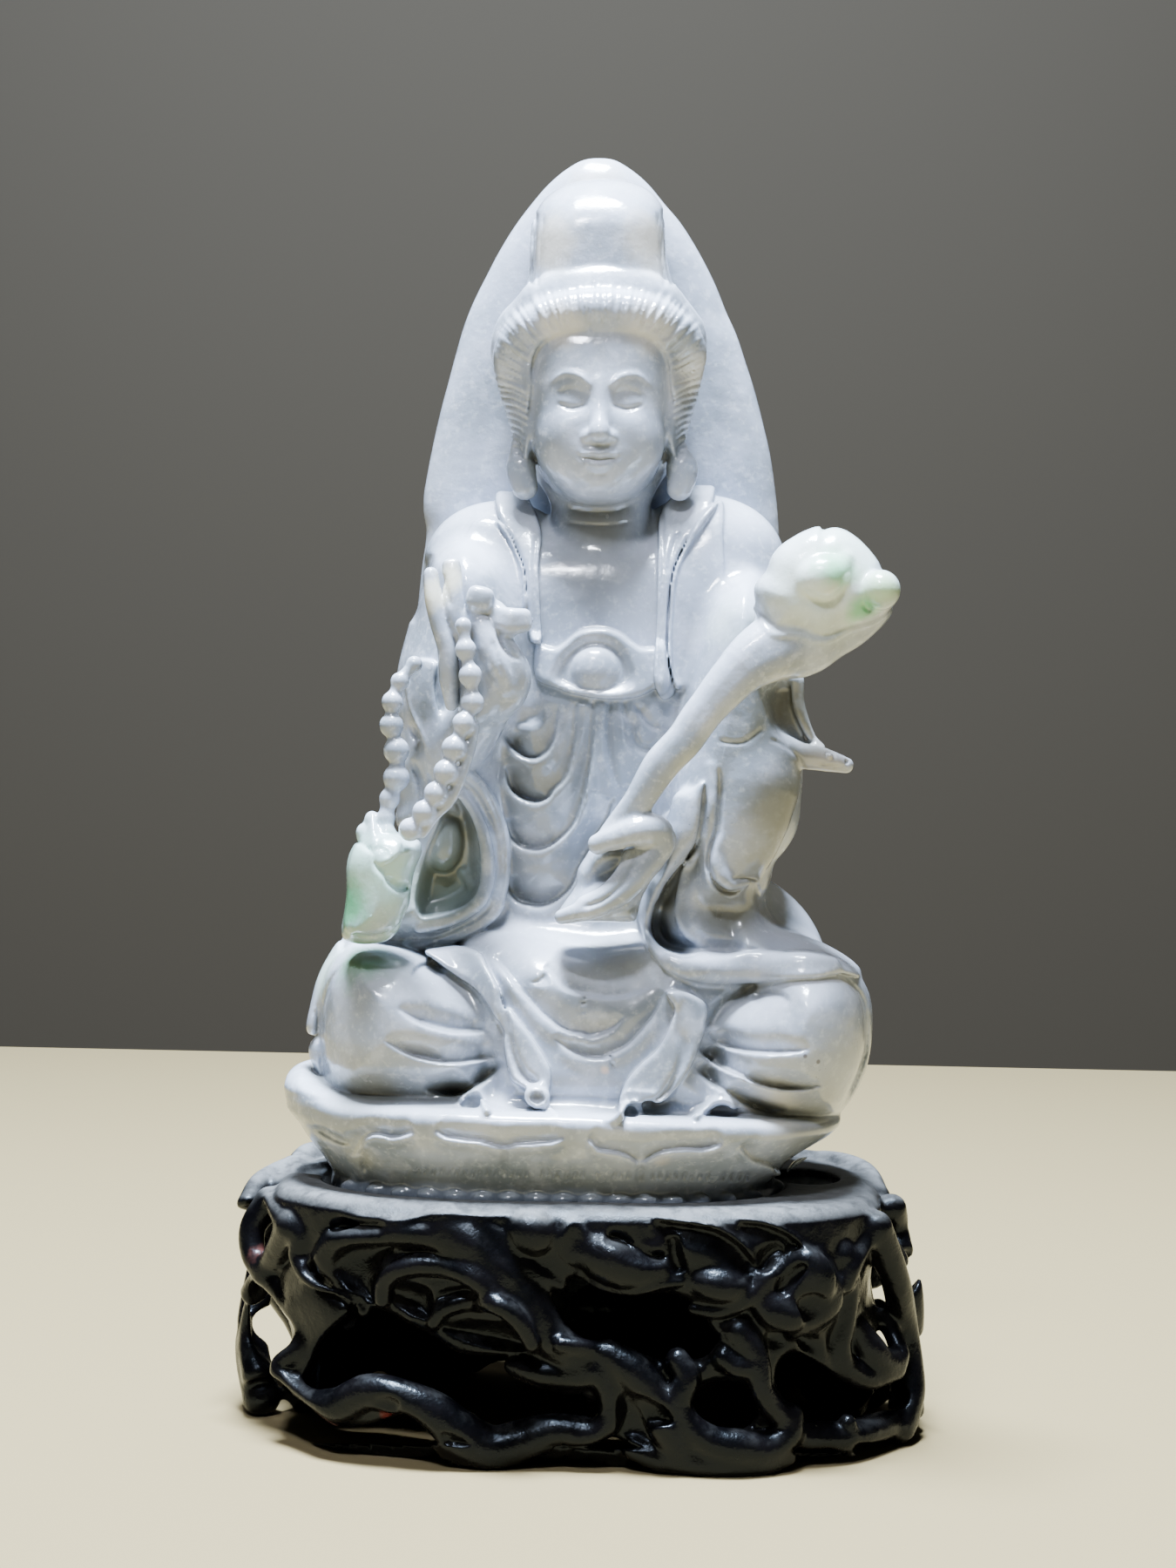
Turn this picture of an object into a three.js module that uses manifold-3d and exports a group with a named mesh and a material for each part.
// A carved jadeite bodhisattva seated on a lotus throne, resting in the recess
// of a separate carved root-wood stand. Two pieces: the stone and the stand.
// Millimetres, +Z up, front towards -Y, origin on the table under the middle
// of the whole.

import * as THREE from "three";
import { mergeVertices } from "three/addons/utils/BufferGeometryUtils.js";
import Module from "manifold-3d";

const wasm = await Module();
wasm.setup();

// Driving dimensions
const STAND_TOP = 51.6; // height of the stand's deck
const RECESS_DEPTH = 3.4; // the stone's foot sits this deep in the deck
const RECESS_CLEAR = 1.6; // gap all round the foot
const FOOT_GAP = 0.3; // between the foot and the recess floor
const DECK_UNDER = 39.5; // underside of the deck, inside the hollow
const FOOT_Z = STAND_TOP - RECESS_DEPTH + FOOT_GAP;
const THRONE_RIM_Z = 67.5; // rim of the lotus throne, at the front
const HALO_FRONT = 15.5; // front face of the leaf-shaped halo
const HALO_BACK = 27.5;
const CENTRE = [-0.56, 2.5, 0]; // moves the whole so that its middle stands over the origin

const JADE = new THREE.MeshStandardMaterial({ name: "jade", color: 0xdfe4e2, roughness: 0.22, metalness: 0 });
const LACQUER = new THREE.MeshStandardMaterial({ name: "lacquered_root_wood", color: 0x120d10, roughness: 0.2, metalness: 0 });

// A closed three.js geometry as a manifold solid, so that pieces can be joined and cut.
function solid(geometry) {
  const g = geometry.index ? geometry.toNonIndexed() : geometry.clone();
  for (const name of Object.keys(g.attributes)) if (name !== "position") g.deleteAttribute(name);
  const m = mergeVertices(g, 1e-3);
  const index = m.index.array;
  const keep = [];
  for (let i = 0; i < index.length; i += 3) {
    const [a, b, c] = [index[i], index[i + 1], index[i + 2]];
    if (a !== b && b !== c && a !== c) keep.push(a, b, c);
  }
  return new wasm.Manifold(
    new wasm.Mesh({ numProp: 3, vertProperties: m.attributes.position.array, triVerts: new Uint32Array(keep) }),
  );
}

function geometryOf(manifold) {
  const m = manifold.getMesh();
  const xyz = new Float32Array(m.numVert * 3);
  for (let i = 0; i < m.numVert; i++) xyz.set(m.vertProperties.subarray(i * m.numProp, i * m.numProp + 3), i * 3);
  const g = new THREE.BufferGeometry();
  g.setAttribute("position", new THREE.BufferAttribute(xyz, 3));
  g.setIndex(new THREE.BufferAttribute(new Uint32Array(m.triVerts), 1));
  g.computeVertexNormals();
  return g;
}

const join = (list) => list.reduce((a, b) => a.add(b));

// An egg: centre, half-sizes, and turns about X, Y and Z in degrees.
function egg(c, r, turn = [0, 0, 0], seg = [12, 8]) {
  const g = new THREE.SphereGeometry(1, seg[0], seg[1]);
  const q = new THREE.Quaternion().setFromEuler(new THREE.Euler(...turn.map(THREE.MathUtils.degToRad)));
  g.applyMatrix4(new THREE.Matrix4().compose(new THREE.Vector3(...c), q, new THREE.Vector3(...r)));
  return solid(g);
}

// A tube through points, of an oval section wide by deep.
function tube(points, wide, deep, steps = 8, sides = 8) {
  const path = new THREE.CatmullRomCurve3(points.map((p) => new THREE.Vector3(...p)), false, "centripetal");
  const s = new THREE.Shape();
  for (let i = 0; i < sides; i++) {
    const a = (i / sides) * 2 * Math.PI;
    const [x, y] = [Math.cos(a) * wide, Math.sin(a) * deep];
    i ? s.lineTo(x, y) : s.moveTo(x, y);
  }
  return solid(new THREE.ExtrudeGeometry(s, { steps, extrudePath: path, curveSegments: 1 }));
}

// A tapering limb with round ends: a straight prism bent along the points.
function limb(points, radii, flat = 1, sides = 8) {
  const curve = new THREE.CatmullRomCurve3(points.map((p) => new THREE.Vector3(...p)), false, "centripetal");
  const rings = 2 + 2 * (points.length - 1);
  const s = new THREE.Shape();
  for (let i = 0; i < sides; i++) {
    const a = ((i + 0.5) / sides) * 2 * Math.PI;
    i ? s.lineTo(Math.cos(a), Math.sin(a)) : s.moveTo(Math.cos(a), Math.sin(a));
  }
  const g = new THREE.ExtrudeGeometry(s, { depth: rings, steps: rings, bevelEnabled: false, curveSegments: 1 });
  const last = rings - 2;
  const frames = curve.computeFrenetFrames(last);
  const p = g.attributes.position;
  for (let i = 0; i < p.count; i++) {
    const ring = Math.round(p.getZ(i));
    const k = Math.min(last, Math.max(0, ring - 1));
    const t = k / last;
    const f = t * (radii.length - 1);
    const j = Math.min(radii.length - 2, Math.floor(f));
    const r = radii[j] + (radii[j + 1] - radii[j]) * (f - j);
    const end = ring === 0 ? -1 : ring === rings ? 1 : 0;
    const c = curve.getPointAt(t).addScaledVector(frames.tangents[k], end * r * 0.8);
    const w = end ? r * 0.45 : r;
    c.addScaledVector(frames.normals[k], p.getX(i) * w).addScaledVector(frames.binormals[k], p.getY(i) * w * flat);
    p.setXYZ(i, c.x, c.y, c.z);
  }
  return solid(g);
}

// A closed outline in X and Z, extruded along Y from y0 to y1.
function plate(outline, y0, y1, bevel = 0) {
  const curve = new THREE.CatmullRomCurve3(outline.map(([x, z]) => new THREE.Vector3(x, z, 0)), true, "centripetal");
  const s = new THREE.Shape(curve.getPoints(outline.length * 2).slice(0, -1).map((p) => new THREE.Vector2(p.x, p.y)));
  const g = new THREE.ExtrudeGeometry(s, {
    depth: y1 - y0 - 2 * bevel,
    steps: 1,
    bevelEnabled: bevel > 0,
    bevelThickness: bevel,
    bevelSize: bevel,
    bevelOffset: -bevel,
    bevelSegments: 2,
  });
  g.rotateX(Math.PI / 2); // outline stands up in X and Z, and depth runs towards -Y
  g.translate(0, y1 - bevel, 0);
  return solid(g);
}

// A closed outline in X and Y, swept up from z0 to z1 while it scales to top times its size.
function frustum(outline, z0, z1, top = [1, 1], rings = 1, bulge = 0) {
  const curve = new THREE.CatmullRomCurve3(outline.map(([x, y]) => new THREE.Vector3(x, y, 0)), true, "centripetal");
  const s = new THREE.Shape(curve.getPoints(outline.length * 2).slice(0, -1).map((p) => new THREE.Vector2(p.x, p.y)));
  const g = new THREE.ExtrudeGeometry(s, { depth: z1 - z0, steps: rings, bevelEnabled: false });
  const p = g.attributes.position;
  for (let i = 0; i < p.count; i++) {
    const t = p.getZ(i) / (z1 - z0);
    const b = 1 + bulge * Math.sin(Math.PI * t);
    p.setXYZ(i, p.getX(i) * (1 + (top[0] - 1) * t) * b, p.getY(i) * (1 + (top[1] - 1) * t) * b, p.getZ(i) + z0);
  }
  return solid(g);
}

// ---------------------------------------------------------------- the stone

const HALO = [
  [-0.4, 267.3], [6.9, 264.7], [13.8, 257.8], [19.9, 249.9], [25.1, 240.4], [29.6, 230.3], [33.7, 218.3], [37.1, 205.4], [39.1, 192.4], [39.5, 179.4],
  [39.5, 153.4], [34.7, 116.2], [-21.0, 115.0], [-36.4, 140.7], [-36.1, 170.4], [-36.1, 192.7], [-34.2, 206.6], [-31.5, 218.8], [-28.4, 230.9], [-23.6, 242.2], [-18.3, 252.1], [-11.0, 261.5], [-6.5, 265.5],
].map(([x, z]) => [x * 1.045, 134 + (z - 134) * 1.045]);

// the throne: an oval bowl with a lip that curls up at one end
const throneFoot = [
  [-51, -4], [-47, -20], [-34, -29], [-14, -32.5], [8, -32.5], [26, -28], [36, -17], [38, -2], [34, 13], [20, 21], [-8, 23], [-36, 20], [-48, 10],
];
const throneRim = [
  [-60, -2], [-53, -22], [-36, -34], [-12, -38.5], [14, -38.5], [37, -33], [52, -20], [56, -3], [49, 14], [28, 24], [-8, 26], [-42, 23], [-56, 12],
];
const throne = join([
  frustum(throneFoot, FOOT_Z, 57, [1.02, 1.02]),
  frustum(throneRim.map(([x, y]) => [x * 0.84, y * 0.86]), 54, THRONE_RIM_Z, [1.19, 1.163], 2, 0.03),
  egg([-54.4, -4.0, 66.2], [9, 17, 8.5], [0, 30, 0]),
]);

const legs = join([
  egg([-38.6, -9.0, 81.8], [20.5, 25, 18.5], [0, -4, 0], [16, 10]),
  egg([41.2, -9.0, 82.0], [21.5, 25, 19], [0, 4, 0], [16, 10]),
  egg([3.0, -9.0, 79.4], [36, 27.5, 18], [0, 0, 0], [16, 10]),
  egg([1.8, 5.0, 92.8], [44, 18, 20], [0, 0, 0], [12, 9]),
  egg([54.4, 4.0, 84.6], [8, 14, 15]),
]);

const torso = join([
  egg([2.4, 4.0, 134.1], [29, 21, 44], [0, 0, 0], [16, 11]),
  egg([1.7, 6.0, 171.6], [35, 19, 22], [0, 0, 0], [16, 10]),
  egg([-22.7, 8.0, 182.6], [13.5, 12, 13]),
  egg([26.7, 8.0, 183.7], [14, 12, 13]),
  limb([[1.5, 3.0, 197.6], [1.8, 4.0, 182.7]], [11.5, 14]),
]);

const head = join([
  egg([1.0, -4.0, 211.4], [15.5, 17, 19.5], [0, 0, 0], [16, 10]),
  egg([0.7, 1.0, 226.7], [23.4, 20, 14.5], [0, 0, 0], [16, 9]),
  egg([0.9, 7.0, 215.0], [22, 13, 19]),
  limb([[0.6, 2.0, 240.3], [0.2, 3.0, 256.4]], [15, 14.6], 0.95),
  egg([0.2, 3.0, 258.1], [14.8, 14, 7.5]),
  egg([-14.5, -1.0, 198.9], [3.6, 4, 5]),
  egg([18.3, -1.0, 199.6], [4.2, 4, 5]),
]);

// raised arm, its sleeve and the hand
const raisedArm = join([
  limb([[-25.5, 6.0, 182.4], [-32.2, 2.0, 159.4], [-32.4, -4.0, 140.7]], [13, 12, 11]),
  limb([[-32.2, -6.0, 137.0], [-20.8, -19.0, 146.1]], [10.5, 8]),
  egg([-20.7, -23.0, 151.2], [8, 7, 10]),
  tube([[-30.3, -27.0, 157.9], [-31.4, -27.0, 168.4], [-32.2, -25.0, 176.5]], 2.7, 2.7, 3),
  tube([[-26.0, -27.0, 159.7], [-27.1, -28.0, 168.4], [-29.5, -26.0, 177.6]], 2.7, 2.7, 3),
  tube([[-20.6, -27.0, 152.9], [-21.5, -30.0, 163.1], [-22.6, -29.0, 171.0]], 2.9, 2.7, 3),
  tube([[-15.0, -25.0, 151.3], [-15.1, -28.0, 159.9], [-16.4, -28.0, 166.5]], 3.4, 3, 3),
  tube([[-31.2, -25.0, 154.5], [-27.6, -24.0, 145.8], [-21.4, -22.0, 140.6]], 3.6, 3.2, 3),
  tube([[-27.1, -14.0, 137.9], [-19.6, -16.0, 128.2], [-16.1, -18.0, 115.8], [-17.7, -21.0, 107.0], [-26.7, -24.0, 103.1], [-44.5, -22.0, 100.1]], 3.6, 4, 9),
  egg([-26.3, -7.0, 120.6], [9, 10, 19], [0, 8, 0]),
  egg([-35.4, -6.0, 114.9], [12, 12, 17]),
]);

// lowered arm, its sleeve and hand
const loweredArm = join([
  limb([[31.0, 6.0, 181.7], [35.4, 2.0, 160.9], [34.8, -6.0, 138.4], [28.4, -12.0, 120.1]], [13, 12, 11.5, 11]),
  limb([[34.7, -8.0, 134.7], [12.5, -25.0, 123.7]], [11, 7]),
  egg([31.1, -10.0, 123.7], [15, 15, 21], [0, 0, 0], [12, 9]),
  egg([8.5, -31.0, 118.5], [10.5, 6.5, 8], [0, 35, 0]),
  egg([-0.7, -35.0, 110.7], [5.5, 4, 3.6], [0, 20, 0]),
  tube([[20.4, -22.0, 134.4], [15.3, -24.0, 120.2], [12.8, -27.0, 108.0], [18.1, -31.0, 100.5], [32.9, -31.0, 98.6], [51.3, -22.0, 98.2]], 3.8, 4, 9),
  egg([32.6, -8.0, 105.5], [24, 18, 10]),
]);

// sceptre: a long stem, a cloud-shaped head with two knobs
const sceptre = join([
  limb([[4.5, -36.0, 122.9], [14.0, -37.0, 137.7], [22.8, -37.0, 149.9], [31.3, -36.0, 158.4], [39.1, -34.0, 163.3]], [4, 4.4, 5, 6.4, 7]),
  egg([44.9, -31.0, 173.9], [14, 9.5, 12.5], [0, 20, 0], [12, 9]),
  egg([49.3, -27.0, 165.7], [13, 8, 7.5], [0, -25, 0]),
  egg([56.9, -35.0, 172.7], [4.2, 4.6, 4.6]),
  egg([44.0, -39.0, 177.6], [5, 3.8, 4.4]),
  limb([[39.1, -14.0, 160.1], [41.4, -12.0, 147.5], [46.7, -14.0, 141.8], [52.6, -18.0, 140.1]], [5, 5, 4.2, 2.4]),
]);

// beads: two free strands between the hand and the gourd-shaped end
const beads = [];
const near = [[-22.5, -36.0, 160.2], [-23.0, -37.0, 154.1], [-23.3, -37.0, 149.3], [-25.4, -37.0, 143.4], [-26.7, -37.0, 138.2], [-28.8, -37.0, 132.5], [-31.1, -36.0, 127.3], [-33.7, -35.0, 122.6], [-35.5, -33.0, 117.7]];
const far = [[-31.3, -32.0, 155.0], [-37.5, -30.0, 153.2], [-39.9, -29.0, 148.5], [-40.0, -29.0, 143.3], [-39.0, -29.0, 138.1], [-39.2, -29.0, 133.2], [-40.7, -29.0, 127.9], [-42.2, -28.0, 121.7]];
const strand = (line, r) => {
  beads.push(tube(line, r * 0.62, r * 0.62, line.length * 2, 6));
  for (const c of line) beads.push(egg(c, [r, r, r], [0, 0, 0], [6, 5]));
};
strand(near, 2.7);
strand(far, 2.8);
beads.push(egg([-41.3, -29.0, 113.1], [8.6, 8, 14.5], [0, 10, 0], [12, 8]));
beads.push(egg([-47.0, -27.0, 118.1], [2.6, 3, 7]));
const bundle = join(beads);

// hips and lower back: an oval mass that carries the leaf down to the throne
const back = frustum(
  [[-47, 6], [-38, -6], [-16, -12], [16, -12], [38, -6], [47, 6], [42, 19], [26, 26], [0, 28.5], [-26, 26], [-42, 19]],
  58,
  128,
  [0.76, 0.9],
  3,
  0.04,
);

let stone = join([
  plate(HALO, HALO_FRONT, HALO_BACK, 2.2),
  back,
  throne,
  legs,
  torso,
  head,
  raisedArm,
  loweredArm,
  sceptre,
  bundle,
]);
// everything is ground flat under the foot
const below = solid(new THREE.BoxGeometry(300, 300, 100).translate(0, 0, FOOT_Z - 50));
stone = stone.subtract(below);

// ---------------------------------------------------------------- the stand

const standPlan = [
  [-64, -6], [-62, -24], [-50, -36], [-28, -42], [0, -43.5], [26, -43.5], [48, -38], [60, -26], [64, -8], [62, 12], [54, 28], [34, 37], [4, 40], [-26, 39], [-50, 32], [-61, 14],
];
let stand = frustum(standPlan.map(([x, y]) => [x * 1.02, y * 0.98]), 0, STAND_TOP, [0.985, 0.96], 3, 0.03);
// hollow under the deck
stand = stand.subtract(frustum(standPlan.map(([x, y]) => [x * 0.81, y * 0.75]), -5, DECK_UNDER, [1, 0.96], 1));
// recess for the stone's foot
const recess = [
  ...throneFoot.map(([x, y]) => {
    const k = 1 + (RECESS_CLEAR + 1) / Math.hypot(x, y);
    return [x * k, y * k];
  }),
];
stand = stand.subtract(frustum(recess, STAND_TOP - RECESS_DEPTH, STAND_TOP + 20));

// carved openings through the wall: centre, half-sizes, turn
const holes = [
  [[11.2, -40.0, 28.0], [17.6, 16, 8], [0, 2, 0]],
  [[-37.7, -34.0, 21.9], [14.5, 17, 7.6], [0, -6, 0]],
  [[-18.6, -38.0, 18.3], [5.8, 16, 4.4], [0, 0, 0]],
  [[-3.4, -40.0, 12.4], [9, 16, 3.4], [0, 0, 0]],
  [[29.1, -40.0, 12.5], [7, 16, 5.4], [0, 0, 0]],
  [[49.6, -32.0, 14.7], [10, 18, 7.2], [0, 0, 20]],
  [[-60.8, -16.0, 37.6], [15, 6, 6], [0, 0, 30]],
  [[-64.4, -10.0, 19.9], [18, 7, 7], [0, 0, 10]],
  [[61.6, -8.0, 25.7], [18, 7, 6], [0, 0, -10]],
  [[64, 12, 17], [18, 8, 9], [0, 0, 10]],
  [[-63, 16, 20], [18, 8, 9], [0, 0, -10]],
  [[-30, 38, 22], [14, 16, 9], [0, 0, 0]],
  [[6, 40, 16], [12, 16, 8], [0, 0, 0]],
  [[38, 34, 23], [11, 16, 9], [0, 0, -20]],
];
for (const [c, r, turn] of holes) stand = stand.subtract(egg(c, r, turn, [12, 8]));

// arches between the feet
const arches = [
  [[-53, -28, 0], [9, 20, 5.5], [0, 0, 35]],
  [[-32.2, -40.0, 6.5], [8, 14, 5], [0, 0, 0]],
  [[9.8, -40.0, -0.3], [6, 14, 3.6], [0, 0, 0]],
  [[44, -36, 0], [6, 14, 5], [0, 0, -20]],
  [[64, -14, 0], [14, 7, 4], [0, 0, 0]],
  [[-64, 6, 0], [14, 9, 5], [0, 0, 0]],
  [[60, 22, 0], [14, 6, 4], [0, 0, 20]],
  [[-16, 42, 0], [9, 14, 5], [0, 0, 0]],
  [[24, 42, 0], [9, 14, 5], [0, 0, 0]],
  [[-50, 30, 0], [7, 12, 4], [0, 0, 30]],
];
for (const [c, r, turn] of arches) stand = stand.subtract(egg(c, r, turn, [12, 8]));

// roots that run over the wall, and bosses standing proud of it
const knots = [
  egg([8.9, -41.0, 41.3], [9.5, 4.6, 5.4], [0, 10, 0]),
  egg([-9.2, -41.5, 46.6], [5, 4, 4]),
  egg([27.7, -40.0, 36.7], [6.4, 5, 4.2]),
  egg([43.7, -37.0, 34.3], [9, 8, 9]),
  limb([[-38.1, -39.0, 36.5], [-31.1, -41.0, 39.1], [-22.6, -41.5, 37.7], [-16.1, -41.0, 32.8]], [2.8, 3.8, 3.8, 3.2]),
  limb([[-31.5, -39.0, 48.7], [-17.6, -41.5, 44.6], [-8.1, -42.0, 36.4], [-5.0, -42.0, 26.3], [5.0, -41.5, 19.1]], [3.5, 5, 5, 4.4, 3.8]),
  limb([[-54.8, -31.0, 10.9], [-41.1, -38.0, 13.1], [-32.3, -41.0, 12.4], [-21.9, -42.0, 7.3], [-10.0, -42.0, 5.8], [3.5, -41.5, 8.5]], [4.2, 4.4, 4.4, 5, 5, 4.2]),
  limb([[-64.7, -18.0, 45.9], [-65.0, -23.0, 38.0], [-61.0, -27.0, 33.2], [-53.6, -33.0, 23.6]], [4, 3.8, 3.8, 3.8]),
  limb([[54.6, -26.0, 42.9], [62.5, -16.0, 37.1], [67.8, -10.0, 33.6]], [6.5, 5, 3]),
  limb([[50.7, -31.0, 34.3], [56.2, -27.0, 22.1], [61.8, -22.0, 16.2], [66.0, -17.0, 17.1]], [4.2, 4, 4, 3.4]),
  limb([[36.0, -38.0, 25.3], [37.0, -40.0, 15.6], [41.4, -40.0, 8.9], [42.1, -38.0, 2.2]], [4.2, 3.8, 3.8, 4.2]),
  limb([[19.6, -41.0, 8.7], [29.0, -41.5, 3.6], [39.9, -39.5, 3.3]], [3.8, 4.4, 3.8]),
  limb([[-62.3, 22.0, 48.2], [-64.8, 6.0, 48.4], [-62.8, -12.0, 46.9]], [5, 4.8, 5]),
  limb([[57.7, 26.0, 41.6], [63.1, 6.0, 40.4], [58.3, -14.0, 43.3]], [4.6, 4.8, 4.8]),
  limb([[66.4, -4.0, 13.8], [69.5, -2.0, 5.1], [69.6, -2.0, -3.3]], [4, 5, 4.6]),
  limb([[-66, 18, 44], [-69, 6, 26], [-68, 0, 6]], [4, 4.4, 5]),
  limb([[-46, 32.5, 44], [-26, 36.5, 32], [-10, 37.5, 18], [-4, 37.5, 4]], [4, 4.6, 4.6, 4.6]),
  limb([[50, 29.5, 44], [30, 35, 33], [22, 37.5, 18], [30, 36.5, 3]], [4, 4.6, 4.6, 4.6]),
  limb([[63, 20, 44], [67, 6, 32], [66, -6, 20]], [4, 4.4, 4.4]),
];
stand = join([stand, ...knots]);
// the rim keeps clear of the stone as it lifts out
stand = stand.subtract(frustum(recess, STAND_TOP - RECESS_DEPTH, STAND_TOP + 6));
stand = stand.subtract(frustum(throneRim.map(([x, y]) => [x * 1.03, y * 1.04]), 56.2, 90));
stand = stand.subtract(solid(new THREE.BoxGeometry(400, 400, 100).translate(0, 0, -50)));
// what the cuts left loose or too small to stand is not part of it
stand = stand.decompose().sort((a, b) => b.volume() - a.volume())[0];
// the stone clears the stand all round
stone = stone.decompose().sort((a, b) => b.volume() - a.volume())[0];

const part = new THREE.Group();
const add = (name, manifold, material) => {
  const mesh = new THREE.Mesh(geometryOf(manifold.translate(CENTRE)), material);
  mesh.name = name;
  part.add(mesh);
  return mesh;
};
add("jade_carving", stone, JADE);
add("root_wood_stand", stand, LACQUER);

export default part;
